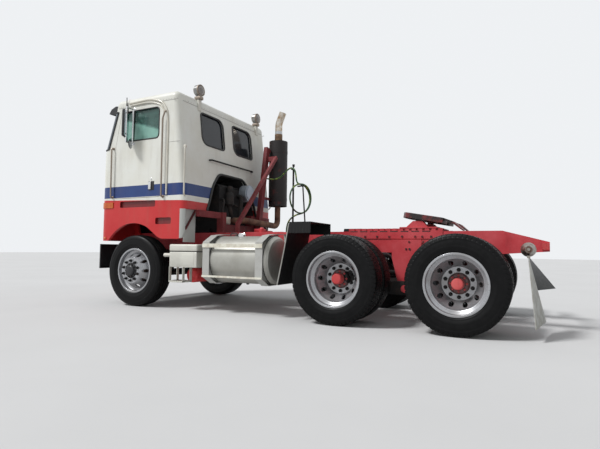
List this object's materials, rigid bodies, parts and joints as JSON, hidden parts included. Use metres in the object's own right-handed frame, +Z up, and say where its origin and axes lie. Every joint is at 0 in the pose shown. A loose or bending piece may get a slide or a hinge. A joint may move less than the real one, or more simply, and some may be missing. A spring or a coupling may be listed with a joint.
{
  "type": "semi truck tractor unit",
  "caption": "Cab-over tractor unit with two driven rear axles, tilting cab with opening doors, steered front wheels and a tilting fifth wheel plate.",
  "frame": {"origin": "on the ground under the middle of the vehicle's length and width", "axes": "+X forward, +Y to the driver's left, +Z up"},
  "size_m": [6.2555, 2.772, 3.2945],
  "materials": {
    "red_paint": "faded chassis enamel",
    "white_paint": "cab enamel, white over blue and red",
    "tyre_rubber": "matte",
    "polished_aluminium": "worn polish",
    "cast_steel": "black and greasy",
    "rusty_steel": "heat-stained with a bright tip",
    "bright_steel": "bright",
    "flap_rubber": "matte",
    "hose_rubber": "green air line",
    "cab_glass": "tinted",
    "amber_lens": "clear moulded",
    "cab_plastic": "grained",
    "seat_vinyl": "soft vinyl"
  },
  "bodies": {
    "chassis": {"frame_rails": "red_paint", "crossmembers": "red_paint", "engine": "cast_steel", "radiator": "cast_steel", "driveline": "cast_steel", "axle_front": "cast_steel", "axles_rear": "cast_steel", "springs_front": "cast_steel", "walking_beams": "cast_steel", "beam_saddles": "red_paint", "fuel_tanks": "polished_aluminium", "tank_brackets": "polished_aluminium", "battery_boxes": "polished_aluminium", "air_tank": "red_paint", "exhaust_stack": "rusty_steel", "cab_cradle": "red_paint", "air_cleaner": "cab_plastic", "hose_post": "bright_steel", "air_hose": "hose_rubber", "quarter_fenders": "flap_rubber", "mud_flaps": "flap_rubber", "flap_hangers": "bright_steel", "tail_lamps": "amber_lens", "bumper": "bright_steel", "fifth_wheel_base": "red_paint"},
    "cab": {"cab_roof": "white_paint", "cab_side_left": "white_paint", "cab_side_right": "white_paint", "cab_rear_wall": "white_paint", "cab_front": "white_paint", "cab_floor": "cab_plastic", "cab_glass": "cab_glass", "dashboard": "cab_plastic", "steering_wheel": "cab_plastic", "seats": "seat_vinyl", "sun_visor": "white_paint", "cab_lamps": "bright_steel", "grab_rails": "bright_steel"},
    "door_left": {"door_left": "white_paint", "door_glass_left": "cab_glass", "mirror_left": "cab_plastic"},
    "knuckle_left": {"knuckle_left": "cast_steel"},
    "door_right": {"door_right": "white_paint", "door_glass_right": "cab_glass", "mirror_right": "cab_plastic"},
    "knuckle_right": {"knuckle_right": "cast_steel"},
    "tie_rod": {"tie_rod": "cast_steel"},
    "fifth_wheel": {"fifth_wheel_plate": "cast_steel"},
    "front_wheel_left": {"wheel_front_left": "polished_aluminium", "tyre_front_left": "tyre_rubber"},
    "mid_wheels_left": {"wheels_mid_left": "polished_aluminium", "tyres_mid_left": "tyre_rubber"},
    "rear_wheels_left": {"wheels_rear_left": "polished_aluminium", "tyres_rear_left": "tyre_rubber"},
    "front_wheel_right": {"wheel_front_right": "polished_aluminium", "tyre_front_right": "tyre_rubber"},
    "mid_wheels_right": {"wheels_mid_right": "polished_aluminium", "tyres_mid_right": "tyre_rubber"},
    "rear_wheels_right": {"wheels_rear_right": "polished_aluminium", "tyres_rear_right": "tyre_rubber"}
  },
  "joints": [
    {"name": "cab_tilt", "type": "hinge", "parent": "chassis", "child": "cab", "pos_m": [2.927, 0, 0.958], "axis": [0, 1, 0], "range_deg": [0, 55]},
    {"name": "door_left_swing", "type": "hinge", "parent": "cab", "child": "door_left", "pos_m": [2.762, 1.155, 2.25], "axis": [0, 0, -1], "range_deg": [0, 70]},
    {"name": "door_right_swing", "type": "hinge", "parent": "cab", "child": "door_right", "pos_m": [2.762, -1.155, 2.25], "axis": [0, 0, 1], "range_deg": [0, 70]},
    {"name": "steer_left", "type": "hinge", "parent": "chassis", "child": "knuckle_left", "pos_m": [2.3465, 0.855, 0.518], "axis": [0, 0, 1], "range_deg": [-35, 35]},
    {"name": "steer_right", "type": "hinge", "parent": "chassis", "child": "knuckle_right", "pos_m": [2.3465, -0.855, 0.518], "axis": [0, 0, 1], "range_deg": [-35, 35]},
    {"name": "tie_rod_turn", "type": "hinge", "parent": "knuckle_left", "child": "tie_rod", "pos_m": [2.1465, 0.855, 0.446], "axis": [0, 0, 1], "range_deg": [-35, 35]},
    {"name": "fifth_wheel_tilt", "type": "hinge", "parent": "chassis", "child": "fifth_wheel", "pos_m": [-1.613, 0, 1.18], "axis": [0, 1, 0], "range_deg": [0, 25]},
    {"name": "front_roll_left", "type": "hinge", "parent": "knuckle_left", "child": "front_wheel_left", "pos_m": [2.3465, 0.999, 0.518], "axis": [0, 1, 0], "continuous": true},
    {"name": "mid_roll_left", "type": "hinge", "parent": "chassis", "child": "mid_wheels_left", "pos_m": [-0.821, 0.91, 0.518], "axis": [0, 1, 0], "continuous": true},
    {"name": "rear_roll_left", "type": "hinge", "parent": "chassis", "child": "rear_wheels_left", "pos_m": [-2.148, 0.91, 0.518], "axis": [0, 1, 0], "continuous": true},
    {"name": "front_roll_right", "type": "hinge", "parent": "knuckle_right", "child": "front_wheel_right", "pos_m": [2.3465, -0.999, 0.518], "axis": [0, 1, 0], "continuous": true},
    {"name": "mid_roll_right", "type": "hinge", "parent": "chassis", "child": "mid_wheels_right", "pos_m": [-0.821, -0.91, 0.518], "axis": [0, 1, 0], "continuous": true},
    {"name": "rear_roll_right", "type": "hinge", "parent": "chassis", "child": "rear_wheels_right", "pos_m": [-2.148, -0.91, 0.518], "axis": [0, 1, 0], "continuous": true}
  ],
  "couplings": [
    {"joint": "steer_right", "follows": "steer_left", "ratio": 1},
    {"joint": "tie_rod_turn", "follows": "steer_left", "ratio": -1}
  ]
}
